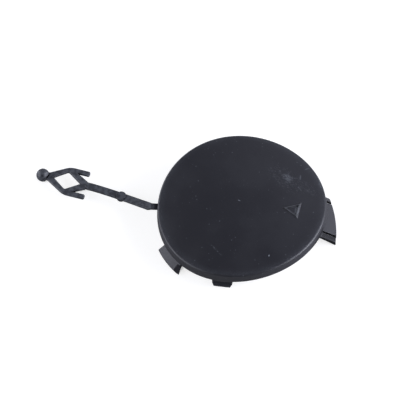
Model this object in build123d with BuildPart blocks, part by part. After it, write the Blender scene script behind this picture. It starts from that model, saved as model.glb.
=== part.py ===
"""Round cover for a bumper's tow eye, moulded in one piece with its holding strap.

Millimetres. Z points out of the face. Z = 0 is the mean level of the rim's lower edge,
on the cover's axis. +X points to the release tongue, and the strap leaves on the -X side.
"""

import math
import os

from build123d import *

os.makedirs("parts", exist_ok=True)

# Round face and its turned-down rim
cover_dia = 84.0
rim_height = 4.6
rim_wall = 1.7
rim_flare = 0.4
face_wall = 2.5
edge_round = 1.1

# The face follows the bumper: a strong bend one way and a slight crown across it
bend_radius = 165.0
crown_radius = 900.0
bend_direction = 37.6

# Raised outline that marks where to press
mark_distance = 26.2
mark_direction = -4.0
mark_turn = -3.2
mark_side = 8.6
mark_line = 0.7
mark_height = 0.35
mark_bevel = 0.2

# Back: the skirt that enters the bumper's round opening, and its ribs
opening_lap = 1.4
skirt_clearance = 1.2
skirt_wall = 1.8
skirt_depth = 2.4
rest_depth = 9.0
rib_wall = 1.2
rib_height = 2.6
hub_height = 3.2
rib_count = 8
hub_dia = 22.0

# Fixed hooks on the strap's side
hook_directions = (134.0, -142.3)
hook_span = 22.6
hook_overhang = 5.9
hook_drop = 4.7
hook_wall = 1.8
hook_bend_share = 0.47
hook_fall_share = 0.53
hook_corner = 0.8
hook_end_slant = 26.0
hook_end_run = 3.6
hook_end_tilt = 20.0
gusset_wall = 1.4
gusset_spread = 6.5
gusset_drop = 2.0

# Springing snap clips, flat and turned a little towards the tongue
snap_direction = 94.8
snap_offset = 4.0
snap_width = 10.2
snap_wall = 1.8
snap_bite = 1.4
snap_catch = 6.9
snap_corner = 1.1
snap_slot = 1.5
snap_slot_height = 3.0

# Release tongue between two side lips, sloping outwards and with the bend of the bumper
lip_slope = 33.0
lip_tilt = 5.5
lip_level = -7.4
lip_wall = 1.5
lip_foot = 2.0
lip_foot_height = 1.5
lip_near_side = -11.9
lip_near_out = 5.3
lip_middle_side = 2.0
lip_middle_out = 4.3
lip_far_side = 13.4
lip_far_out = 0.7
lip_corner = 0.9
lip_end_wall = 1.3
lip_end_inner = 0.8
slot_near_side = -8.3
slot_far_side = 10.9
slot_width = 1.2
slot_top = 1.0

# Holding strap
strap_width = 3.6
strap_wall = 1.4
strap_root_bite = 1.1
strap_root_side = 1.2
strap_root_level = -0.5
strap_lug_in = 0.4
strap_lug_height = 1.6
strap_crease_out = 3.8
strap_fall_out = 13.3
strap_fall_level = -4.6
strap_lift_out = 23.8
strap_lift_level = -5.2
strap_turn_out = (13.3, 6.7)
strap_turn_in = (27.2, 12.6)
knuckle_dia = 4.8
knuckle_height = 2.2
knuckle_place = (19.3, 8.8)
knuckle_level = -4.5

# Diamond anchor with barbs and a round head, measured from the end of the strap
anchor_start = (37.3, 15.1)
anchor_turn = 13.5
anchor_length = 19.7
anchor_neck = 4.4
anchor_side = 8.1
anchor_far_place = 10.8
anchor_near_place = 9.9
anchor_curve = 8.0
anchor_wall = 1.7
anchor_bevel = 0.35
hole_start = 3.1
hole_end = 17.2
hole_side = 5.2
hole_round = 1.0
barb_far_length = 10.5
barb_near_length = 11.0
barb_width = 2.6
barb_round = 0.8
head_dia = 6.6
head_place = 22.8

# Worked out from the sizes above
cover_radius = cover_dia / 2
opening_dia = cover_dia - 2 * opening_lap
skirt_radius = opening_dia / 2 - skirt_clearance
skirt_inner = skirt_radius - skirt_wall
above_face = cover_dia / 4
skin_middle = face_wall / 2
snap_middle = snap_direction + math.degrees(math.atan(snap_offset / skirt_radius))


def face_drop(x, y):
    """How far the bent face lies below its highest point at a place (x, y)."""
    turn = math.radians(bend_direction)
    along = x * math.cos(turn) + y * math.sin(turn)
    across = y * math.cos(turn) - x * math.sin(turn)
    reach = crown_radius - bend_radius + math.sqrt(bend_radius**2 - along**2)
    return crown_radius - math.sqrt(reach**2 - across**2)


def polar(radius, direction):
    """The place at a radius and a direction in degrees."""
    turn = math.radians(direction)
    return radius * math.cos(turn), radius * math.sin(turn)


low_edge = face_drop(*polar(cover_radius, bend_direction))
high_edge = face_drop(*polar(cover_radius, bend_direction + 90))
face_top = rim_height + (low_edge + high_edge) / 2


def seat_level(direction):
    """The level of the rim's lower edge in a direction from the axis."""
    return face_top - rim_height - face_drop(*polar(cover_radius, direction))


def skin_level(direction):
    """The level of the middle of the skin above the skirt, in a direction from the axis."""
    return face_top - skin_middle - face_drop(*polar(skirt_radius, direction))


def bent_layer(upper, lower):
    """The layer between two depths below the bent face."""
    along = Vector(*polar(1, bend_direction))
    across = Vector(*polar(1, bend_direction - 90))
    crown_axis = Axis((0, 0, face_top - crown_radius), along)
    half_turn = math.degrees(cover_dia / crown_radius)
    half_arc = math.degrees(cover_dia * 0.75 / bend_radius)
    centre = (0, crown_radius - bend_radius)
    start = Plane(
        crown_axis.position,
        x_dir=along,
        z_dir=across.rotate(Axis((0, 0, 0), along), -half_turn),
    )
    with BuildPart() as layer:
        with BuildSketch(start):
            with BuildLine():
                outer = CenterArc(centre, bend_radius - upper, 90 - half_arc, 2 * half_arc)
                inner = CenterArc(centre, bend_radius - lower, 90 - half_arc, 2 * half_arc)
                Line(outer @ 0, inner @ 0)
                Line(outer @ 1, inner @ 1)
            make_face()
        revolve(axis=crown_axis, revolution_arc=2 * half_turn)
    return layer.part


def turned_sector(outline, direction, span):
    """A profile of (radius, level) points turned about the axis, centred on a direction."""
    start = direction - span / 2
    section = Plane(origin=(0, 0, 0), x_dir=(*polar(1, start), 0), z_dir=(*polar(1, start - 90), 0))
    with BuildPart() as sector:
        with BuildSketch(section):
            with BuildLine():
                Polyline(*outline, close=True)
            make_face()
        revolve(axis=Axis.Z, revolution_arc=span)
    return sector.part


# Face and rim: a flared disc cut to the bent layer, hollowed below the skin
with BuildPart() as pocket:
    Cylinder(cover_radius - rim_wall, above_face * 2)
    add(bent_layer(face_wall, rim_height * 2), mode=Mode.INTERSECT)

with BuildPart() as cap:
    with Locations((0, 0, rim_height / 2)):
        Cone(
            cover_radius + rim_flare / 2 + rim_flare * above_face / rim_height,
            cover_radius + rim_flare / 2 - rim_flare * above_face / rim_height,
            above_face * 2,
        )
    add(bent_layer(0, rim_height), mode=Mode.INTERSECT)
    fillet(cap.faces().sort_by(Axis.Z)[-1].edges(), edge_round)
    add(pocket.part, mode=Mode.SUBTRACT)

# Raised triangle outline, one corner towards the middle of the face
mark_heading = 180 + mark_direction + mark_turn
with BuildPart() as mark:
    with BuildSketch(Plane.XY):
        with Locations(Location((*polar(mark_distance, mark_direction), 0), mark_heading)):
            RegularPolygon(mark_side / math.sqrt(3), 3)
            RegularPolygon(mark_side / math.sqrt(3) - 2 * mark_line, 3, mode=Mode.SUBTRACT)
    extrude(amount=above_face)
    add(bent_layer(-mark_height, skin_middle), mode=Mode.INTERSECT)
    chamfer(mark.faces().sort_by(Axis.Z)[-1].edges(), mark_bevel)

# The two slots that free the tongue from its side lips
with BuildPart() as tongue_slots:
    for place in (slot_near_side, slot_far_side):
        with Locations((cover_radius, place, slot_top - rest_depth)):
            Box(cover_radius, slot_width, rest_depth * 2)

# Skirt below the rim, cut to the same bend, with slots beside the clips
with BuildPart() as skirt:
    Cylinder(skirt_radius, above_face * 2)
    add(bent_layer(skin_middle, rim_height + skirt_depth), mode=Mode.INTERSECT)
    Cylinder(skirt_inner, above_face * 2, mode=Mode.SUBTRACT)
    for direction in (snap_middle, -snap_middle):
        slot_level = seat_level(direction) - skirt_depth
        for side in (-1, 1):
            slot_direction = direction + side * math.degrees((snap_width + snap_slot) / 2 / skirt_radius)
            with Locations(Location((*polar(skirt_radius, slot_direction), slot_level), slot_direction)):
                Box(skirt_wall * 4, snap_slot, snap_slot_height * 2, mode=Mode.SUBTRACT)
    add(tongue_slots.part, mode=Mode.SUBTRACT)

# Hub ring and the stiffening ribs from it to the skirt
hub_middle = (hub_dia - rib_wall) / 2
with BuildPart() as ribs:
    with BuildSketch(Plane.XY.offset(face_top - face_wall - hub_height)):
        Circle(hub_dia / 2)
        Circle(hub_dia / 2 - rib_wall, mode=Mode.SUBTRACT)
    extrude(amount=skin_middle + hub_height)
    for step in range(rib_count):
        direction = (step + 0.5) * 360 / rib_count
        rib_top = skin_level(direction)
        radial = Plane((0, 0, 0), x_dir=(*polar(1, direction), 0), z_dir=(*polar(1, direction - 90), 0))
        with BuildSketch(radial):
            Polygon(
                (hub_middle, face_top - face_wall),
                (skirt_radius - skirt_wall / 2, rib_top),
                (skirt_radius - skirt_wall / 2, rib_top - skin_middle - rib_height),
                (hub_middle, face_top - face_wall - rib_height),
                align=None,
            )
        extrude(amount=rib_wall / 2, both=True)


def hook(direction):
    """One fixed hook: a wall in the skirt, a lip that slopes outwards and two gussets."""
    turn = math.copysign(1, direction)
    seat = seat_level(direction)
    inner = skirt_radius - hook_wall
    reach = skirt_radius + hook_overhang
    crest = seat - hook_drop
    bend_reach = skirt_radius + hook_overhang * hook_bend_share
    bend_level = seat - hook_drop * hook_fall_share
    lip = [
        (inner, skin_level(direction)),
        (skirt_radius, skin_level(direction)),
        (skirt_radius, seat + hook_wall / 2),
        (bend_reach, bend_level),
        (reach, crest),
        (reach, crest - hook_wall / 2),
        (reach - hook_wall / 2, crest - hook_wall),
        (bend_reach - hook_wall, bend_level - hook_wall),
        (inner, seat - hook_wall),
    ]
    gusset = [
        (inner, seat - hook_wall / 2),
        (skirt_radius, seat - hook_wall / 2),
        (bend_reach, bend_level - hook_wall / 2),
        (reach - hook_wall, crest - hook_wall / 2),
        (bend_reach, crest - gusset_drop),
        (skirt_radius, crest - gusset_drop),
        (inner, bend_level - hook_wall),
    ]
    end = direction - turn * hook_span / 2
    facet_start = end + turn * math.degrees(hook_end_run / reach)
    slope = Vector(*polar(reach - bend_reach, facet_start), crest - bend_level)
    upright = Vector(*polar(bend_level - crest, facet_start), reach - bend_reach)
    facet = Plane(
        (*polar(bend_reach, facet_start), bend_level),
        x_dir=slope,
        z_dir=upright.rotate(Axis((0, 0, 0), slope), turn * hook_end_tilt),
    )
    waste_side = Align.MAX if turn > 0 else Align.MIN
    with BuildPart() as piece:
        add(turned_sector(lip, direction, hook_span))
        with Locations(facet.location):
            Box(hook_span, hook_span, hook_span, align=(Align.MIN, waste_side, Align.MIN), mode=Mode.SUBTRACT)
        with Locations(Location((*polar(reach, end), crest), end - turn * hook_end_slant)):
            Box(
                hook_span,
                hook_span,
                hook_span,
                align=(Align.CENTER, waste_side, Align.CENTER),
                mode=Mode.SUBTRACT,
            )
        corner = piece.edges().filter_by(Axis.Z).sort_by_distance((*polar(reach, end), crest))[0]
        chamfer(corner, hook_corner)
        for side in (-gusset_spread, gusset_spread):
            add(turned_sector(gusset, direction + side, math.degrees(gusset_wall / reach)))
    return piece.part


def snap_clip(side):
    """One springing clip: a flat finger with a small catch and cut lower corners."""
    direction = side * snap_direction
    place = side * snap_offset
    seat = seat_level(side * snap_middle)
    top = skin_level(side * snap_middle)
    catch = seat - snap_catch
    outward = (*polar(1, direction), 0)
    sideways = (*polar(1, direction + 90), 0)
    with BuildPart() as piece:
        with BuildSketch(Plane(Vector(*sideways) * place, x_dir=outward, z_dir=-Vector(*sideways))):
            Polygon(
                (skirt_radius - snap_wall, top),
                (skirt_radius, top),
                (skirt_radius, catch + snap_bite),
                (skirt_radius + snap_bite, catch),
                (skirt_radius + snap_bite, catch - snap_bite / 4),
                (skirt_radius - snap_wall / 3, -rest_depth),
                (skirt_radius - snap_wall, -rest_depth),
                align=None,
            )
        extrude(amount=snap_width / 2, both=True)
        with BuildSketch(Plane((0, 0, 0), x_dir=sideways, z_dir=outward)):
            Polygon(
                (place - snap_width / 2, top),
                (place - snap_width / 2, catch + snap_corner),
                (place - snap_width / 2 + snap_corner, catch - snap_bite / 4),
                (place - snap_width / 2 + snap_corner, -rest_depth),
                (place + snap_width / 2 - snap_corner, -rest_depth),
                (place + snap_width / 2 - snap_corner, catch - snap_bite / 4),
                (place + snap_width / 2, catch + snap_corner),
                (place + snap_width / 2, top),
                align=None,
            )
        extrude(amount=cover_dia, mode=Mode.INTERSECT)
    return piece.part


def lip_plan(setback):
    """The outline of tongue and side lips seen from above, its outer edge set back."""
    with BuildSketch(Plane.XY) as plan:
        with BuildLine():
            edge = ThreePointArc(
                (cover_radius + lip_far_out - setback, lip_far_side),
                (cover_radius + lip_middle_out - setback, lip_middle_side),
                (cover_radius + lip_near_out - setback, lip_near_side),
            )
            Polyline(edge @ 1, (0, lip_near_side), (0, lip_far_side), edge @ 0)
        make_face()
        fillet(plan.vertices().sort_by_distance(edge @ 0)[0], lip_corner)
    return plan.sketch


# Tongue and side lips: a sloping plate with a foot and end walls, cut to its outline and slotted
slope_fall = math.tan(math.radians(lip_slope))
plate_height = lip_wall / math.cos(math.radians(lip_slope))
tilt_fall = math.tan(math.radians(lip_tilt))
side_step = Vector(0, 1, -tilt_fall)
plate_start = math.sqrt(skirt_inner**2 - lip_far_side**2) - skirt_wall
plate_end = cover_radius + lip_near_out
plate_run = plate_end - plate_start
with BuildPart() as tongue:
    near_level = lip_level - lip_near_side * tilt_fall
    with BuildSketch(Plane.XZ.offset(-lip_near_side)):
        Polygon(
            (plate_start, near_level + plate_run * slope_fall),
            (plate_end, near_level),
            (plate_end, near_level - plate_height),
            (plate_start, near_level + plate_run * slope_fall - plate_height),
            align=None,
        )
    extrude(amount=(lip_far_side - lip_near_side) * side_step.length, dir=side_step)
    for start in (lip_near_side, lip_far_side - lip_end_wall):
        level = lip_level - start * tilt_fall
        with BuildSketch(Plane.XZ.offset(-start)):
            Polygon(
                (plate_start, level + plate_run * slope_fall),
                (plate_end, level),
                (plate_end, -rest_depth),
                (plate_start, level + plate_run * slope_fall - lip_end_inner),
                align=None,
            )
        extrude(amount=lip_end_wall, dir=(0, 1, 0))
    extrude(lip_plan(0), amount=above_face, both=True, mode=Mode.INTERSECT)
    with BuildSketch(Plane.XY.offset(-rest_depth)):
        with Locations((0, (slot_near_side + slot_far_side) / 2)):
            Rectangle(plate_end, slot_far_side - slot_near_side, align=(Align.MIN, Align.CENTER))
        add(lip_plan(0), mode=Mode.INTERSECT)
        add(lip_plan(lip_foot), mode=Mode.SUBTRACT)
    extrude(amount=lip_foot_height)
    Cylinder(skirt_radius - skirt_wall / 2, above_face * 2, mode=Mode.SUBTRACT)
    add(tongue_slots.part, mode=Mode.SUBTRACT)

# Strap: a thin band bent in side view, cut to its winding outline seen from above
root_reach = skirt_radius - strap_root_bite
lug_reach = cover_radius - strap_lug_in
crease_reach = cover_radius + strap_crease_out
anchor_root = (-cover_radius - anchor_start[0], anchor_start[1])
anchor_heading = 180 - anchor_turn
anchor_step = Vector(*polar(1, anchor_heading))
strap_end = Vector(*anchor_root) + anchor_step * anchor_wall
head_level = head_dia / 2 - rest_depth
with BuildPart() as strap:
    with BuildSketch(Plane.XZ.offset(-cover_radius)):
        with BuildLine():
            root = Polyline(
                (-crease_reach, strap_root_level - strap_wall),
                (-root_reach, strap_root_level - strap_wall),
                (-root_reach, strap_root_level + strap_lug_height),
                (-lug_reach, strap_root_level + strap_lug_height),
                (-lug_reach, strap_root_level),
                (-crease_reach, strap_root_level),
            )
            upper = Bezier(
                root @ 1,
                (-cover_radius - strap_fall_out, strap_fall_level + strap_wall / 2),
                (-cover_radius - strap_lift_out, strap_lift_level + strap_wall / 2),
                (strap_end.X, head_level + strap_wall / 2),
            )
            lower = Bezier(
                root @ 0,
                (-cover_radius - strap_fall_out, strap_fall_level - strap_wall / 2),
                (-cover_radius - strap_lift_out, strap_lift_level - strap_wall / 2),
                (strap_end.X, head_level - strap_wall / 2),
            )
            Line(upper @ 1, lower @ 1)
        make_face()
    extrude(amount=cover_radius)
    with BuildSketch(Plane.XY.offset(-rest_depth)):
        with BuildLine() as winding:
            Bezier(
                (-crease_reach, strap_root_side),
                (-cover_radius - strap_turn_out[0], strap_turn_out[1]),
                (-cover_radius - strap_turn_in[0], strap_turn_in[1]),
                strap_end,
            )
        trace(winding.line, strap_width)
        with Locations((-crease_reach, strap_root_side)):
            Circle(strap_width / 2)
            Rectangle(crease_reach, strap_width, align=(Align.MIN, Align.CENTER))
    extrude(amount=rest_depth + above_face, mode=Mode.INTERSECT)
    with Locations((-cover_radius - knuckle_place[0], knuckle_place[1], knuckle_level)):
        Cylinder(knuckle_dia / 2, knuckle_height)

# Anchor: a diamond frame with two barbs that point back, and a round head
anchor_plane = Plane((*anchor_root, head_level - anchor_wall / 2), x_dir=anchor_step)
with BuildPart() as anchor:
    with BuildSketch(anchor_plane) as frame:
        Polygon(
            (0, -anchor_neck / 2),
            (anchor_far_place, -anchor_side),
            (anchor_length, -anchor_neck / 2),
            (anchor_length, anchor_neck / 2),
            (anchor_near_place, anchor_side),
            (0, anchor_neck / 2),
            align=None,
        )
        Polygon(
            (hole_start, 0),
            (anchor_far_place, -hole_side),
            (hole_end, 0),
            (anchor_near_place, hole_side),
            align=None,
            mode=Mode.SUBTRACT,
        )
        with Locations((anchor_length, 0)):
            Rectangle(head_place - anchor_length, anchor_neck, align=(Align.MIN, Align.CENTER))
        for side, place, length in (
            (-1, anchor_far_place, barb_far_length),
            (1, anchor_near_place, barb_near_length),
        ):
            outer = side * anchor_side
            inner = side * (anchor_side - barb_width)
            end = place - length
            Polygon((place, outer), (end, outer), (end, inner), (place, inner), align=None)
            for corner, size in (
                ((place, outer), anchor_curve),
                ((end, outer), barb_round),
                ((end, inner), barb_round),
                ((place, side * hole_side), hole_round),
            ):
                fillet(frame.vertices().sort_by_distance(corner)[0], size)
    extrude(amount=anchor_wall)
    chamfer(anchor.edges().filter_by(Axis.Z, reverse=True), anchor_bevel)
    with Locations(Vector(*anchor_root, head_level) + anchor_step * head_place):
        Sphere(head_dia / 2)

with BuildPart() as tow_hook_cover:
    for piece in (cap, mark, skirt, ribs, tongue, strap, anchor):
        add(piece.part)
    for side, direction in zip((1, -1), hook_directions):
        add(hook(direction))
        add(snap_clip(side))

tow_hook_cover.part.label = "tow_hook_cover"
export_step(tow_hook_cover.part, "parts/tow_hook_cover.step")
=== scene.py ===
"""Round cover for a bumper's tow eye: moulded plastic finish, floor, lamps and camera.

The cover is one moulding, with Z out of its face and +X towards its release tongue.
"""

import math

import bpy
from bpy.props import FloatProperty, FloatVectorProperty, PointerProperty
from mathutils import Matrix, Vector


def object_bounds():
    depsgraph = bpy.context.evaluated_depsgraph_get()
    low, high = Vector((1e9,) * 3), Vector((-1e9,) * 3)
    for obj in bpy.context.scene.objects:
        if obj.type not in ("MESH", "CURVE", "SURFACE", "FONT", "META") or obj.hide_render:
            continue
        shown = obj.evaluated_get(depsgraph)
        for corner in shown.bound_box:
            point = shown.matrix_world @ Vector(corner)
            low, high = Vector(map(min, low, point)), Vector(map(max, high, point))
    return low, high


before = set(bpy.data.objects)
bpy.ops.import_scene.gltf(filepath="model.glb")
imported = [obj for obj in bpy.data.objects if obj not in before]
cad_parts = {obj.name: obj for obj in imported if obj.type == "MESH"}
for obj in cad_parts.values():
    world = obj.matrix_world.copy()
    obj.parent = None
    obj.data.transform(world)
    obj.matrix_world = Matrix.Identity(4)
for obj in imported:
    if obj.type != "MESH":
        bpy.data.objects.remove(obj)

cad_box = [list(corner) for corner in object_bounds()]

bl_info = {
    "name": "Tow Hook Cover",
    "version": (1, 0, 0),
    "blender": (4, 5, 0),
    "location": "3D View > Sidebar > Cover",
    "description": "Moulded plastic finish and studio for a round tow hook cover",
    "category": "Object",
}

MM = 0.001

# The sizes in these tables are in millimetres, the turns in degrees.

# Pale scuffs on the face: centre, turn, half length, half width, streak size, fill, strength
SCUFFS = {
    "haze": ((21.6, 16.5, 5.4), -36, 14.5, 7.5, 0.5, 0.55, 0.3),
    "rim haze": ((33.0, 12.4, 4.3), -52, 6.5, 3.4, 0.5, 0.55, 0.3),
    "haze core": ((21.6, 17.9, 5.4), -36, 3.4, 2.2, 0.5, 0.8, 0.5),
    "upright scratch": ((27.9, 18.9, 4.3), 90, 2.0, 0.45, 3.0, 1.0, 0.45),
    "curved scratch": ((30.7, 25.0, 3.0), 33, 1.8, 0.4, 2.0, 1.0, 0.4),
    "worn rim": ((37.8, 17.0, 2.8), -63, 7.0, 1.4, 0.6, 0.6, 0.3),
    "low scratch": ((-11.2, -26.7, 5.8), -45, 6.5, 0.7, 0.45, 0.6, 0.5),
    "bright speck": ((16.0, -30.1, 7.0), 90, 0.7, 0.42, 9.0, 1.0, 1.6),
    "rubbed mark": ((27.7, -2.1, 6.6), 81, 3.4, 1.3, 2.5, 1.0, 0.35),
    "nick": ((-1.3, 1.5, 7.8), -24, 0.9, 0.3, 6.0, 1.0, 1.1),
}

# Radius of the round face, out to its rim
COVER_RADIUS = 42.0

# Raised triangle on the face: centre, turn, distance from the centre to each ridge, ridge half width
MARK_CENTRE = (26.14, -1.83, 6.6)
MARK_TURN = 172.8
MARK_REACH = 2.2
MARK_HALF_WIDTH = 1.0

# Dust: spacing, size and share of the specks, and how pale specks and film are
SPECK_SPACING = 1.8
SPECK_SIZE = 0.32
SPECK_SHARE = 0.55
SPECK_PALENESS = 0.5
FILM_PALENESS = 0.02

# Width of the pale band inside the rim
RIM_REACH = 6.0

# The strap: its distance from the middle of the face, and the size of its mottling
STRAP_START = 44.0
MOTTLE_SIZE = 2.2

# The tongue's end piece, darkened with painted shade in place of a steeper tilt away from the lamps: its
# distance from the rim, where it begins along X and Y, and the share of colour and shine left on it
END_PIECE_GAP = 0.15
END_PIECE_START = 36.0
END_PIECE_SIDE = -8.7
END_PIECE_PAINTED_SHADE = 0.5

# Refraction of the plastic, and what uneven grain and dust add to its roughness
PLASTIC_IOR = 1.5
UNEVEN_ROUGHNESS = 0.03
DUST_ROUGHNESS = 0.25

# Soft square lamps, in metres: place, and the setting that holds the power
LAMP_SIDE = 0.7
LAMPS = {
    "left_softbox": ((-0.95, -0.25, 0.3), "left_power"),
    "far_left_softbox": ((-0.9, 0.5, 0.18), "far_left_power"),
    "front_right_softbox": ((0.92, -0.35, 0.3), "front_right_power"),
    "right_softbox": ((0.95, 0.05, 0.3), "right_power"),
    "tongue_softbox": ((0.75, 0.6, 0.45), "tongue_power"),
    "back_softbox": ((0.0, 1.0, 0.45), "back_power"),
}

# Camera: its right-hand and backward directions, the point it looks at, and its distance and reach in metres
CAMERA_RIGHT = (0.99643, 0.07512, -0.03851)
CAMERA_BACK = (0.07328, -0.54324, 0.83638)
CAMERA_AIM = (-21.169, 3.246, 3.963)
CAMERA_DISTANCE = 0.8
CAMERA_REACH = 20.0


class MouldedPlasticSettings(bpy.types.PropertyGroup):
    """Colour, grain, wear, painted shade and painted edge highlight of the moulded plastic"""

    plastic_color: FloatVectorProperty(
        name="Plastic", description="Colour of the clean plastic", subtype="COLOR",
        size=3, min=0.0, max=1.0, default=(0.0152, 0.0155, 0.0203),
    )
    dust_color: FloatVectorProperty(
        name="Dust", description="Colour of dust and pale scuffs", subtype="COLOR",
        size=3, min=0.0, max=1.0, default=(0.22, 0.24, 0.27),
    )
    roughness: FloatProperty(
        name="Roughness", description="Roughness of the grained face",
        min=0.0, max=1.0, default=0.46,
    )
    grain_size: FloatProperty(
        name="Grain Size", description="Spacing of the moulded grain",
        unit="LENGTH", min=0.0001, max=0.01, default=0.45 * MM,
    )
    grain_depth: FloatProperty(
        name="Grain Depth", description="Depth of the moulded grain",
        unit="LENGTH", min=0.0, max=0.001, default=0.018 * MM,
    )
    ridge_height: FloatProperty(
        name="Ridge Height", description="Soft rise of the raised triangle's lines",
        unit="LENGTH", min=0.0, max=0.002, default=0.4 * MM,
    )
    edge_radius: FloatProperty(
        name="Edge Radius", description="Rounding that softens the moulded edges",
        unit="LENGTH", min=0.0, max=0.005, default=0.35 * MM,
    )
    dust_amount: FloatProperty(
        name="Dust Amount", description="How much dust lies on the cover",
        min=0.0, max=1.0, default=0.5,
    )
    rim_wear: FloatProperty(
        name="Rim Wear", description="How pale the face is beside its rim",
        min=0.0, max=1.0, default=0.14,
    )
    strap_wear: FloatProperty(
        name="Strap Wear", description="How pale the strap and its anchor are from handling",
        min=0.0, max=1.0, default=0.5,
    )
    mark_wear: FloatProperty(
        name="Mark Wear", description="How pale the raised triangle's lines are rubbed",
        min=0.0, max=1.0, default=0.12,
    )
    crevice_shade_reach: FloatProperty(
        name="Crevice Shade Reach", description="How far painted shade spreads out of slots and corners",
        unit="LENGTH", min=0.0, max=0.02, default=2.5 * MM,
    )
    shade_reach: FloatProperty(
        name="Shade Reach", description="Distance to the floor within which the plastic shines less under painted shade",
        unit="LENGTH", min=0.0, max=0.1, default=20.0 * MM,
    )
    edge_wear_and_highlight: FloatProperty(
        name="Edge Wear And Highlight", description="How pale the worn edges are",
        min=0.0, max=1.0, default=0.12,
    )


class StudioSettings(bpy.types.PropertyGroup):
    """Floor, lamps and camera"""

    floor_color: FloatVectorProperty(
        name="Floor", description="Colour of the floor", subtype="COLOR",
        size=3, min=0.0, max=1.0, default=(0.36, 0.36, 0.36),
    )
    floor_glow: FloatProperty(
        name="Floor Glow", description="White added to the floor where the camera sees it",
        min=0.0, max=1.0, default=0.82,
    )
    mirrored_glow: FloatProperty(
        name="Mirrored Glow", description="White added to the floor where a glossy or clear piece shows it",
        min=0.0, max=1.0, default=0.15,
    )
    floor_size: FloatProperty(
        name="Floor Size", description="Side of the square floor",
        unit="LENGTH", min=0.5, max=20.0, default=6.0,
    )
    left_power: FloatProperty(
        name="Left Lamp", description="Power of the soft lamp on the strap's side",
        subtype="POWER", min=0.0, max=200.0, default=7.3,
    )
    far_left_power: FloatProperty(
        name="Far Left Lamp", description="Power of the soft lamp behind the strap",
        subtype="POWER", min=0.0, max=200.0, default=6.5,
    )
    front_right_power: FloatProperty(
        name="Front Right Lamp", description="Power of the soft lamp at the front right",
        subtype="POWER", min=0.0, max=200.0, default=7.5,
    )
    right_power: FloatProperty(
        name="Right Lamp", description="Power of the soft lamp on the tongue's side",
        subtype="POWER", min=0.0, max=200.0, default=13.0,
    )
    tongue_power: FloatProperty(
        name="Tongue Lamp", description="Power of the soft lamp that rakes over the tongue",
        subtype="POWER", min=0.0, max=200.0, default=2.1,
    )
    back_power: FloatProperty(
        name="Back Lamp", description="Power of the soft lamp behind the cover",
        subtype="POWER", min=0.0, max=200.0, default=1.0,
    )
    contact_shadow_reach: FloatProperty(
        name="Contact Shadow Reach", description="Height under the cover below which the floor loses its glow",
        unit="LENGTH", min=0.0, max=0.1, default=20.0 * MM,
    )
    light_color: FloatVectorProperty(
        name="Light", description="Colour of the cool daylight", subtype="COLOR",
        size=3, min=0.0, max=2.0, default=(0.96, 0.98, 1.1),
    )
    sky_strength: FloatProperty(
        name="Sky Strength", description="Light from all round",
        min=0.0, max=2.0, default=0.06,
    )
    frame_width: FloatProperty(
        name="Frame Width", description="Width of the picture at the cover",
        unit="LENGTH", min=0.05, max=1.0, default=199.49 * MM,
    )


def add_node(tree, kind, place, **values):
    """Add a node at a grid place and set its attributes or its inputs by name."""
    node = tree.nodes.new(kind)
    node.location = (place[0] * 200, place[1] * -180)
    for name, value in values.items():
        if hasattr(node, name):
            setattr(node, name, value)
        else:
            node.inputs[name.replace("_", " ").title()].default_value = value
    return node


def join(tree, output, target):
    """Link an output socket to an input socket."""
    tree.links.new(output, target)


def math_step(tree, operation, place, *operands, clamp=False):
    """A Math node with sockets or numbers as its operands."""
    node = add_node(tree, "ShaderNodeMath", place, operation=operation, use_clamp=clamp)
    for target, value in zip(node.inputs, operands):
        if isinstance(value, (int, float)):
            target.default_value = value
        else:
            join(tree, value, target)
    return node.outputs[0]


def ramp(tree, place, value, low, high, to_low=0.0, to_high=1.0):
    """A clamped, smoothed change of range."""
    node = add_node(tree, "ShaderNodeMapRange", place, interpolation_type="SMOOTHSTEP")
    join(tree, value, node.inputs["Value"])
    node.inputs["From Min"].default_value = low
    node.inputs["From Max"].default_value = high
    node.inputs["To Min"].default_value = to_low
    node.inputs["To Max"].default_value = to_high
    return node.outputs["Result"]


def new_group(name, inputs, outputs):
    """A shader node group that reads a place, with named inputs and float outputs."""
    tree = bpy.data.node_groups.new(name, "ShaderNodeTree")
    for label, value in inputs.items():
        kind = "NodeSocketVector" if isinstance(value, tuple) else "NodeSocketFloat"
        socket = tree.interface.new_socket(label, in_out="INPUT", socket_type=kind)
        socket.default_value = value
    for label in outputs:
        tree.interface.new_socket(label, in_out="OUTPUT", socket_type="NodeSocketFloat")
    source = add_node(tree, "NodeGroupInput", (-6, 0))
    result = add_node(tree, "NodeGroupOutput", (8, 0))
    return tree, source, result


def pattern(tree, kind, grid, place, scale, **values):
    """A texture node that reads a place, at a fixed scale or at that of a socket."""
    node = add_node(tree, kind, grid, **values)
    join(tree, place, node.inputs["Vector"])
    if isinstance(scale, float):
        node.inputs["Scale"].default_value = scale
    else:
        join(tree, scale, node.inputs["Scale"])
    return node


def turned_place(tree, source):
    """The place seen from the group's centre and turned back by its turn: the vector and its parts."""
    moved = add_node(tree, "ShaderNodeVectorMath", (-5, 0), operation="SUBTRACT")
    join(tree, source.outputs["Place"], moved.inputs[0])
    join(tree, source.outputs["Centre"], moved.inputs[1])
    turned = add_node(tree, "ShaderNodeVectorRotate", (-4, 0), rotation_type="Z_AXIS", invert=True)
    join(tree, moved.outputs[0], turned.inputs["Vector"])
    join(tree, source.outputs["Turn"], turned.inputs["Angle"])
    split = add_node(tree, "ShaderNodeSeparateXYZ", (-3, 0))
    join(tree, turned.outputs[0], split.inputs[0])
    return turned.outputs[0], split.outputs


def axis_distance(tree, source):
    """The place's distance from the axis of the round face."""
    flat = add_node(tree, "ShaderNodeVectorMath", (-4, 0), operation="MULTIPLY")
    join(tree, source.outputs["Place"], flat.inputs[0])
    flat.inputs[1].default_value = (1.0, 1.0, 0.0)
    distance = add_node(tree, "ShaderNodeVectorMath", (-3, 0), operation="LENGTH")
    join(tree, flat.outputs[0], distance.inputs[0])
    return distance.outputs["Value"]


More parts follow.
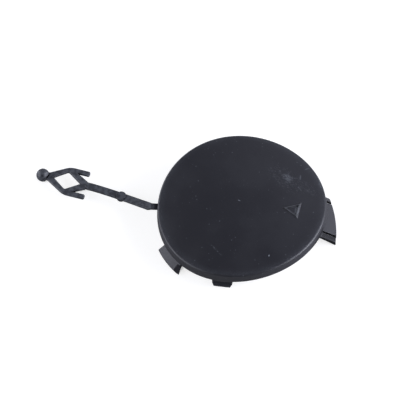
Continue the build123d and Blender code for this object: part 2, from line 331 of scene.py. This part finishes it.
def grain_group():
    """Fine moulded grain as a height, with a slow unevenness of the sheen."""
    tree, source, result = new_group(
        "moulded grain", {"Place": (0.0, 0.0, 0.0), "Size": 0.0005}, ("Height", "Sheen"))
    place = source.outputs["Place"]
    density = math_step(tree, "DIVIDE", (-5, 1), 1.0, source.outputs["Size"])
    fine = pattern(tree, "ShaderNodeTexNoise", (-3, 0), place, density, detail=2.0, roughness=0.6)
    cells = pattern(tree, "ShaderNodeTexVoronoi", (-3, 2), place, density, feature="SMOOTH_F1")
    height = math_step(tree, "MULTIPLY_ADD", (0, 1), cells.outputs["Distance"], 0.6, fine.outputs["Fac"])
    join(tree, height, result.inputs["Height"])
    slow = pattern(tree, "ShaderNodeTexNoise", (-3, 4), place, 55.0, detail=3.0)
    join(tree, ramp(tree, (0, 4), slow.outputs["Fac"], 0.3, 0.7, -1.0, 1.0), result.inputs["Sheen"])
    return tree


def speck_group():
    """Sparse pale specks: one round dot in a share of the cells of a grid, each with its own paleness."""
    tree, source, result = new_group(
        "dust specks", {"Place": (0.0, 0.0, 0.0), "Spacing": 0.006, "Size": 0.00025, "Share": 0.2}, ("Mask",))
    density = math_step(tree, "DIVIDE", (-5, 1), 1.0, source.outputs["Spacing"])
    cells = pattern(tree, "ShaderNodeTexVoronoi", (-3, 0), source.outputs["Place"], density)
    split = add_node(tree, "ShaderNodeSeparateColor", (-1, 2))
    join(tree, cells.outputs["Color"], split.inputs["Color"])
    chosen = math_step(tree, "LESS_THAN", (1, 2), split.outputs["Red"], source.outputs["Share"])
    reach = math_step(tree, "MULTIPLY", (-1, 4), source.outputs["Size"], density)
    varied = ramp(tree, (0, 5), split.outputs["Green"], 0.0, 1.0, 0.5, 1.3)
    sized = math_step(tree, "MULTIPLY", (1, 4), reach, varied)
    near = math_step(tree, "DIVIDE", (2, 0), cells.outputs["Distance"], sized)
    dot = math_step(tree, "MULTIPLY", (5, 0), ramp(tree, (3, 0), near, 1.0, 0.4), chosen)
    pale = ramp(tree, (5, 3), split.outputs["Blue"], 0.0, 1.0, 0.2, 1.0)
    join(tree, math_step(tree, "MULTIPLY", (6, 0), dot, pale), result.inputs["Mask"])
    return tree


def scuff_group():
    """A patch of broken streaks, fading out from a centre, with its own turn, length and width."""
    tree, source, result = new_group(
        "scuff patch",
        {
            "Place": (0.0, 0.0, 0.0), "Centre": (0.0, 0.0, 0.0), "Turn": 0.0,
            "Length": 0.01, "Width": 0.003, "Streak": 0.0015, "Fill": 0.5,
        },
        ("Mask",))
    turned, parts = turned_place(tree, source)
    along = math_step(tree, "DIVIDE", (-2, 0), parts["X"], source.outputs["Length"])
    across = math_step(tree, "DIVIDE", (-2, 1), parts["Y"], source.outputs["Width"])
    squares = math_step(tree, "MULTIPLY", (-1, 0), along, along)
    total = math_step(tree, "MULTIPLY_ADD", (0, 0), across, across, squares)
    on_face = ramp(tree, (1, 2), math_step(tree, "ABSOLUTE", (0, 3), parts["Z"]), 0.004, 0.0025)
    patch = math_step(tree, "MULTIPLY", (2, 1), ramp(tree, (1, 0), total, 1.0, 0.1), on_face)
    density = math_step(tree, "DIVIDE", (-5, 5), 1.0, source.outputs["Streak"])
    stretched = add_node(tree, "ShaderNodeVectorMath", (-2, 5), operation="MULTIPLY")
    join(tree, turned, stretched.inputs[0])
    stretched.inputs[1].default_value = (0.35, 1.0, 1.0)
    broken = pattern(
        tree, "ShaderNodeTexNoise", (0, 5), stretched.outputs[0], density, detail=3.0, roughness=0.65)
    half_fill = math_step(tree, "MULTIPLY", (0, 7), source.outputs["Fill"], 0.5)
    threshold = math_step(tree, "SUBTRACT", (1, 6), 0.8, half_fill)
    above = math_step(tree, "SUBTRACT", (2, 5), broken.outputs["Fac"], threshold)
    streaks = ramp(tree, (4, 5), above, 0.0, 0.12)
    join(tree, math_step(tree, "MULTIPLY", (6, 0), patch, streaks), result.inputs["Mask"])
    return tree


def rim_group():
    """A broken pale band that grows towards the rim of a round face."""
    tree, source, result = new_group(
        "pale rim", {"Place": (0.0, 0.0, 0.0), "Radius": 0.04, "Reach": 0.005}, ("Mask",))
    inside = math_step(tree, "SUBTRACT", (-2, 0), source.outputs["Radius"], axis_distance(tree, source))
    share = math_step(tree, "DIVIDE", (-1, 0), inside, source.outputs["Reach"])
    band = math_step(tree, "POWER", (1, 0), ramp(tree, (0, 0), share, 1.0, 0.0), 2.0)
    band = math_step(tree, "MULTIPLY", (2, 0), band, ramp(tree, (1, 2), share, 0.0, 0.15))
    speckle = pattern(tree, "ShaderNodeTexNoise", (-1, 4), source.outputs["Place"], 1300.0, detail=2.0)
    broken = ramp(tree, (1, 4), speckle.outputs["Fac"], 0.35, 0.7, 0.5, 1.3)
    join(tree, math_step(tree, "MULTIPLY", (3, 0), band, broken), result.inputs["Mask"])
    return tree


def ridge_group():
    """A soft ridge along the three sides of a triangle with one corner in the turned direction."""
    tree, source, result = new_group(
        "triangle ridge",
        {"Place": (0.0, 0.0, 0.0), "Centre": (0.0, 0.0, 0.0), "Turn": 0.0, "Reach": 0.002, "Width": 0.0007},
        ("Height",))
    parts = turned_place(tree, source)[1]
    behind = math_step(tree, "MULTIPLY", (-2, 0), parts["X"], -1.0)
    beside = math_step(tree, "ABSOLUTE", (-2, 1), parts["Y"])
    beside = math_step(tree, "MULTIPLY", (-1, 1), beside, math.sin(math.radians(60)))
    flank = math_step(tree, "MULTIPLY_ADD", (0, 1), parts["X"], math.cos(math.radians(60)), beside)
    outside = math_step(tree, "MAXIMUM", (1, 0), behind, flank)
    past_line = math_step(tree, "SUBTRACT", (2, 0), outside, source.outputs["Reach"])
    off_line = math_step(tree, "ABSOLUTE", (3, 0), past_line)
    share = math_step(tree, "DIVIDE", (4, 0), off_line, source.outputs["Width"])
    upper = ramp(tree, (4, 3), parts["Z"], -0.0025, -0.0015)
    height = math_step(tree, "MULTIPLY", (6, 0), ramp(tree, (5, 0), share, 1.0, 0.0), upper)
    join(tree, height, result.inputs["Height"])
    return tree


def strap_group():
    """Mottled paleness of the handled strap and anchor, past a given distance on the -X side."""
    tree, source, result = new_group(
        "handled strap", {"Place": (0.0, 0.0, 0.0), "Start": 0.044, "Mottle": 0.002}, ("Mask",))
    split = add_node(tree, "ShaderNodeSeparateXYZ", (-4, 0))
    join(tree, source.outputs["Place"], split.inputs[0])
    away = math_step(tree, "MULTIPLY", (-3, 0), split.outputs["X"], -1.0)
    past = math_step(tree, "GREATER_THAN", (-2, 0), away, source.outputs["Start"])
    density = math_step(tree, "DIVIDE", (-2, 1), 1.0, source.outputs["Mottle"])
    mottle = pattern(tree, "ShaderNodeTexNoise", (-1, 1), source.outputs["Place"], density, detail=3.0)
    cloud = ramp(tree, (0, 1), mottle.outputs["Fac"], 0.4, 0.6, 0.3, 1.0)
    join(tree, math_step(tree, "MULTIPLY", (1, 0), past, cloud), result.inputs["Mask"])
    return tree


def end_piece_group():
    """The tongue's end piece, which stands outside the rim beyond the slot on the -Y side."""
    tree, source, result = new_group(
        "tongue end",
        {"Place": (0.0, 0.0, 0.0), "Radius": 0.042, "Start": 0.036, "Slot": -0.0088},
        ("Mask",))
    split = add_node(tree, "ShaderNodeSeparateXYZ", (-4, 1))
    join(tree, source.outputs["Place"], split.inputs[0])
    past_rim = math_step(
        tree, "GREATER_THAN", (-1, 0), axis_distance(tree, source), source.outputs["Radius"])
    past_slot = math_step(tree, "LESS_THAN", (-1, 1), split.outputs["Y"], source.outputs["Slot"])
    beside = math_step(tree, "GREATER_THAN", (-1, 2), split.outputs["X"], source.outputs["Start"])
    both = math_step(tree, "MULTIPLY", (0, 0), past_rim, past_slot)
    join(tree, math_step(tree, "MULTIPLY", (1, 0), both, beside), result.inputs["Mask"])
    return tree


def edge_group():
    """Find the edges, from the difference between the rounded and the flat normal."""
    tree, source, result = new_group("worn edges", {"Radius": 0.0004}, ("Mask",))
    rounded = add_node(tree, "ShaderNodeBevel", (-4, 0), samples=6)
    join(tree, source.outputs["Radius"], rounded.inputs["Radius"])
    flat = add_node(tree, "ShaderNodeNewGeometry", (-4, 2))
    alike = add_node(tree, "ShaderNodeVectorMath", (-2, 0), operation="DOT_PRODUCT")
    join(tree, rounded.outputs["Normal"], alike.inputs[0])
    join(tree, flat.outputs["Normal"], alike.inputs[1])
    join(tree, ramp(tree, (1, 0), alike.outputs["Value"], 0.995, 0.9), result.inputs["Mask"])
    return tree


def place_group(tree, group, grid, place, **values):
    """Put a node group into a tree, give it the place that it reads, and set its values."""
    node = add_node(tree, "ShaderNodeGroup", grid)
    node.node_tree = group
    if place is not None:
        join(tree, place, node.inputs["Place"])
    for name, value in values.items():
        node.inputs[name].default_value = value
    return node


def in_metres(numbers):
    """A place in millimetres as one in metres."""
    return tuple(number * MM for number in numbers)


def openness(tree, grid, reach):
    """How open the surroundings are within a reach, from 0 in a slot to 1 in the open."""
    node = add_node(tree, "ShaderNodeAmbientOcclusion", grid, samples=8)
    node.inputs["Distance"].default_value = reach
    return node.outputs["AO"]


def new_material(name):
    """A material with an empty node tree, and that tree."""
    material = bpy.data.materials.new(name)
    material.use_nodes = True
    material.node_tree.nodes.clear()
    return material, material.node_tree


class COVER_OT_plastic_finish(bpy.types.Operator):
    """Give the cover its grained, lightly scuffed and dusty plastic finish, with painted shade in slots, on
    the tongue's end piece and on its shine near the floor, and painted highlight on its edges
    """

    bl_idname = "cover.plastic_finish"
    bl_label = "Moulded Plastic"
    bl_options = {"REGISTER", "UNDO"}

    def add_dust(self, tree, place, look, sheen, ridge):
        """Sum up specks, film, pale rim, strap and triangle, and the scuffs."""
        specks = place_group(
            tree, speck_group(), (-4, 0), place,
            Spacing=SPECK_SPACING * MM, Size=SPECK_SIZE * MM, Share=SPECK_SHARE)
        dust = math_step(tree, "MULTIPLY", (-2, 0), specks.outputs["Mask"], SPECK_PALENESS)
        dust = math_step(tree, "MULTIPLY_ADD", (-1, 0), sheen, FILM_PALENESS, dust)
        rim = place_group(
            tree, rim_group(), (-4, -1), place, Radius=COVER_RADIUS * MM, Reach=RIM_REACH * MM)
        dust = math_step(tree, "MULTIPLY_ADD", (0, 0), rim.outputs["Mask"], look.rim_wear, dust)
        strap = place_group(
            tree, strap_group(), (-4, -2), place, Start=STRAP_START * MM, Mottle=MOTTLE_SIZE * MM)
        dust = math_step(tree, "MULTIPLY_ADD", (1, 0), strap.outputs["Mask"], look.strap_wear, dust)
        scuff = scuff_group()
        for row, (name, values) in enumerate(SCUFFS.items(), start=1):
            centre, turn, length, width, streak, fill, strength = values
            patch = place_group(
                tree, scuff, (-4, row), place, Centre=in_metres(centre), Turn=math.radians(turn),
                Length=length * MM, Width=width * MM, Streak=streak * MM, Fill=fill)
            patch.label = name
            dust = math_step(tree, "MULTIPLY_ADD", (row, 1), patch.outputs["Mask"], strength, dust)
        dust = math_step(tree, "MULTIPLY_ADD", (7, 1), ridge.outputs["Height"], look.mark_wear, dust)
        return math_step(tree, "MULTIPLY", (8, 1), dust, look.dust_amount, clamp=True)

    def add_color(self, tree, look, dust):
        """Mix the plastic's colour with that of dust, and of pale edges that are partly wear and partly
        painted highlight.
        """
        edges = place_group(tree, edge_group(), (0, 5), None, Radius=look.edge_radius)
        # Pale edges: partly edge wear, partly painted highlight where the rounded edges would catch the lamps
        worn = math_step(tree, "MULTIPLY", (3, 4), edges.outputs["Mask"], look.edge_wear_and_highlight)
        pale = math_step(tree, "ADD", (5, 2), dust, worn, clamp=True)
        color = add_node(tree, "ShaderNodeMix", (7, 0), data_type="RGBA")
        color.inputs[6].default_value = (*look.plastic_color, 1.0)
        color.inputs[7].default_value = (*look.dust_color, 1.0)
        join(tree, pale, color.inputs[0])
        return color.outputs[2]

    def add_shade(self, tree, place, look):
        """Painted shade: the share of colour and shine that is left in slots and on the tongue's end piece.
        """
        # Painted shade: colour and shine fall to a small share in slots and corners, as if shaded there
        clear = ramp(tree, (6, 1), openness(tree, (5, 1), look.crevice_shade_reach), 0.4, 0.92, 0.06, 1.0)
        # Painted shade on the tongue's end piece: its colour and shine are cut to a share, standing in for a
        # tilt away from the lamps
        end_piece = place_group(
            tree, end_piece_group(), (5, -2), place,
            Radius=(COVER_RADIUS + END_PIECE_GAP) * MM,
            Start=END_PIECE_START * MM, Slot=END_PIECE_SIDE * MM)
        shine = math_step(
            tree, "MULTIPLY_ADD", (6, -2), end_piece.outputs["Mask"], END_PIECE_PAINTED_SHADE - 1.0, 1.0)
        return math_step(tree, "MULTIPLY", (7, -2), clear, shine)

    def add_normal(self, tree, look, grain, ridge):
        """Round the edges, raise the triangle's ridges and lay the grain over them."""
        soft_edge = add_node(tree, "ShaderNodeBevel", (5, 7), samples=6)
        soft_edge.inputs["Radius"].default_value = look.edge_radius
        normal = soft_edge.outputs["Normal"]
        for grid, height, depth in (((7, 8), ridge, look.ridge_height), ((8, 6), grain, look.grain_depth)):
            bump = add_node(tree, "ShaderNodeBump", grid)
            bump.inputs["Distance"].default_value = depth
            join(tree, height.outputs["Height"], bump.inputs["Height"])
            join(tree, normal, bump.inputs["Normal"])
            normal = bump.outputs["Normal"]
        return normal

    def execute(self, context):
        """Build the plastic from its effect groups, and put it in the cover's slots."""
        look = context.scene.cover_plastic
        plastic, tree = new_material("grained cover plastic")
        output = add_node(tree, "ShaderNodeOutputMaterial", (12, 0))
        shader = add_node(tree, "ShaderNodeBsdfPrincipled", (10, 0))
        shader.inputs["IOR"].default_value = PLASTIC_IOR
        join(tree, shader.outputs[0], output.inputs[0])
        place = add_node(tree, "ShaderNodeTexCoord", (-8, 0)).outputs["Object"]

        grain = place_group(tree, grain_group(), (-4, 6), place, Size=look.grain_size)
        ridge = place_group(
            tree, ridge_group(), (3, 9), place, Centre=in_metres(MARK_CENTRE),
            Turn=math.radians(MARK_TURN), Reach=MARK_REACH * MM, Width=MARK_HALF_WIDTH * MM)
        dust = self.add_dust(tree, place, look, grain.outputs["Sheen"], ridge)
        shade = self.add_shade(tree, place, look)

        # Painted shade: the colour is scaled down in slots and on the tongue's end piece
        color_under_painted_shade = add_node(tree, "ShaderNodeVectorMath", (8, 0), operation="SCALE")
        join(tree, self.add_color(tree, look, dust), color_under_painted_shade.inputs[0])
        join(tree, shade, color_under_painted_shade.inputs["Scale"])
        join(tree, color_under_painted_shade.outputs[0], shader.inputs["Base Color"])

        # Painted shade on the shine: the specular level drops where the floor is near, in place of the shade
        # that real floor reflections would carry
        sheen_under_painted_shade = ramp(tree, (6, 3), openness(tree, (5, 3), look.shade_reach), 0.4, 0.85, 0.3, 0.5)
        shine = math_step(tree, "MULTIPLY", (8, 2), shade, sheen_under_painted_shade)
        join(tree, shine, shader.inputs["Specular IOR Level"])

        uneven = math_step(
            tree, "MULTIPLY_ADD", (5, 4), grain.outputs["Sheen"], UNEVEN_ROUGHNESS, look.roughness)
        rough = math_step(tree, "MULTIPLY_ADD", (7, 3), dust, DUST_ROUGHNESS, uneven)
        join(tree, rough, shader.inputs["Roughness"])
        join(tree, self.add_normal(tree, look, grain, ridge), shader.inputs["Normal"])

        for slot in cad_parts["tow_hook_cover"].material_slots:
            slot.material = plastic
        return {"FINISHED"}


class COVER_OT_studio(bpy.types.Operator):
    """Set up the white floor, the soft lamps, the sky and the camera"""

    bl_idname = "cover.studio"
    bl_label = "Studio"
    bl_options = {"REGISTER", "UNDO"}

    def add_floor(self, studio):
        """Lay the white floor under the cover's lowest point."""
        low = min(corner[2] for corner in cad_box)
        bpy.ops.mesh.primitive_plane_add(size=studio.floor_size, location=(0, 0, low))
        floor = bpy.context.object
        floor.name = "studio_floor"
        paper, tree = new_material("white studio floor")
        output = add_node(tree, "ShaderNodeOutputMaterial", (6, 0))
        matt = add_node(tree, "ShaderNodeBsdfDiffuse", (0, 0))
        matt.inputs["Color"].default_value = (*studio.floor_color, 1.0)
        light = add_node(tree, "ShaderNodeLightPath", (-4, 2)).outputs
        mirrored = math_step(
            tree, "MAXIMUM", (-2, 2), light["Is Glossy Ray"], light["Is Transmission Ray"])
        mirrored = math_step(tree, "MULTIPLY", (-1, 2), mirrored, studio.mirrored_glow)
        direct = math_step(tree, "MULTIPLY", (-1, 3), light["Is Camera Ray"], studio.floor_glow)
        # Painted contact shadow: the floor's glow, seen directly and in reflections, is dimmed where the
        # cover closes it in
        open_floor = openness(tree, (-1, 5), studio.contact_shadow_reach)
        mirrored = math_step(tree, "MULTIPLY", (1, 3), mirrored, ramp(tree, (0, 5), open_floor, 0.35, 0.6))
        direct = math_step(tree, "MULTIPLY", (1, 4), direct, ramp(tree, (0, 4), open_floor, 0.09, 0.24))
        glow = add_node(tree, "ShaderNodeEmission", (3, 2))
        join(tree, math_step(tree, "ADD", (2, 3), mirrored, direct), glow.inputs["Strength"])
        both = add_node(tree, "ShaderNodeAddShader", (4, 0))
        join(tree, matt.outputs[0], both.inputs[0])
        join(tree, glow.outputs[0], both.inputs[1])
        join(tree, both.outputs[0], output.inputs[0])
        floor.data.materials.append(paper)

    def add_sky(self, context, studio):
        """Light the cover a little from all round, before a white background."""
        world = bpy.data.worlds.new("studio sky")
        context.scene.world = world
        world.use_nodes = True
        tree = world.node_tree
        tree.nodes.clear()
        output = add_node(tree, "ShaderNodeOutputWorld", (4, 0))
        sky = add_node(tree, "ShaderNodeBackground", (2, 0))
        sky.inputs["Color"].default_value = (*studio.light_color, 1.0)
        path = add_node(tree, "ShaderNodeLightPath", (-4, 0))
        strength = add_node(tree, "ShaderNodeMapRange", (0, 0))
        join(tree, path.outputs["Is Camera Ray"], strength.inputs["Value"])
        strength.inputs["To Min"].default_value = studio.sky_strength
        strength.inputs["To Max"].default_value = 1.0
        join(tree, strength.outputs["Result"], sky.inputs["Strength"])
        join(tree, sky.outputs[0], output.inputs[0])

    def add_lamp(self, name, place, power, color):
        """Add a square soft lamp that faces the cover."""
        bpy.ops.object.light_add(type="AREA", location=place)
        lamp = bpy.context.object
        lamp.name = name
        lamp.data.shape = "RECTANGLE"
        lamp.data.size = LAMP_SIDE
        lamp.data.size_y = LAMP_SIDE
        lamp.data.energy = power
        lamp.data.color = color
        lamp.rotation_euler = (-Vector(place)).to_track_quat("-Z", "Y").to_euler()
        lamp.visible_camera = False

    def add_camera(self, context, studio):
        """Look at the cover from above its -Y side, with parallel rays."""
        right = Vector(CAMERA_RIGHT)
        back = Vector(CAMERA_BACK).normalized()
        up = back.cross(right).normalized()
        right = up.cross(back)
        bpy.ops.object.camera_add()
        camera = bpy.context.object
        camera.name = "photo_camera"
        camera.data.type = "ORTHO"
        camera.data.ortho_scale = studio.frame_width
        camera.data.clip_end = CAMERA_REACH
        turn = Matrix((right, up, back)).transposed().to_4x4()
        place = Vector(in_metres(CAMERA_AIM)) + back * CAMERA_DISTANCE
        camera.matrix_world = Matrix.Translation(place) @ turn
        context.scene.camera = camera

    def execute(self, context):
        """Make the floor, the sky, the lamps and the camera."""
        studio = context.scene.cover_studio
        bpy.ops.object.select_all(action="DESELECT")
        self.add_floor(studio)
        self.add_sky(context, studio)
        for name, (place, setting) in LAMPS.items():
            self.add_lamp(name, place, getattr(studio, setting), studio.light_color)
        self.add_camera(context, studio)
        context.scene.view_settings.view_transform = "Standard"
        return {"FINISHED"}


class COVER_PT_sidebar(bpy.types.Panel):
    """Settings and buttons of the tow hook cover"""

    bl_label = "Tow Hook Cover"
    bl_idname = "COVER_PT_sidebar"
    bl_space_type = "VIEW_3D"
    bl_region_type = "UI"
    bl_category = "Cover"

    def draw(self, context):
        """Draw the settings of the plastic and the studio, and their buttons."""
        scene = context.scene
        for title, settings in (("Plastic", scene.cover_plastic), ("Studio", scene.cover_studio)):
            box = self.layout.box()
            box.label(text=title)
            for name in settings.__annotations__:
                box.prop(settings, name)
        for operator in BUTTONS:
            self.layout.operator(operator.bl_idname)


SETTINGS = (MouldedPlasticSettings, StudioSettings)
BUTTONS = (COVER_OT_plastic_finish, COVER_OT_studio)


def register():
    """Register the settings, the operators and the panel."""
    for item in (*SETTINGS, *BUTTONS, COVER_PT_sidebar):
        bpy.utils.register_class(item)
    bpy.types.Scene.cover_plastic = PointerProperty(type=MouldedPlasticSettings)
    bpy.types.Scene.cover_studio = PointerProperty(type=StudioSettings)


def unregister():
    """Remove what register added."""
    del bpy.types.Scene.cover_studio
    del bpy.types.Scene.cover_plastic
    for item in reversed((*SETTINGS, *BUTTONS, COVER_PT_sidebar)):
        bpy.utils.unregister_class(item)


def main():
    """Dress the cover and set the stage."""
    register()
    bpy.ops.cover.plastic_finish()
    bpy.ops.cover.studio()


if __name__ == "__main__":
    main()
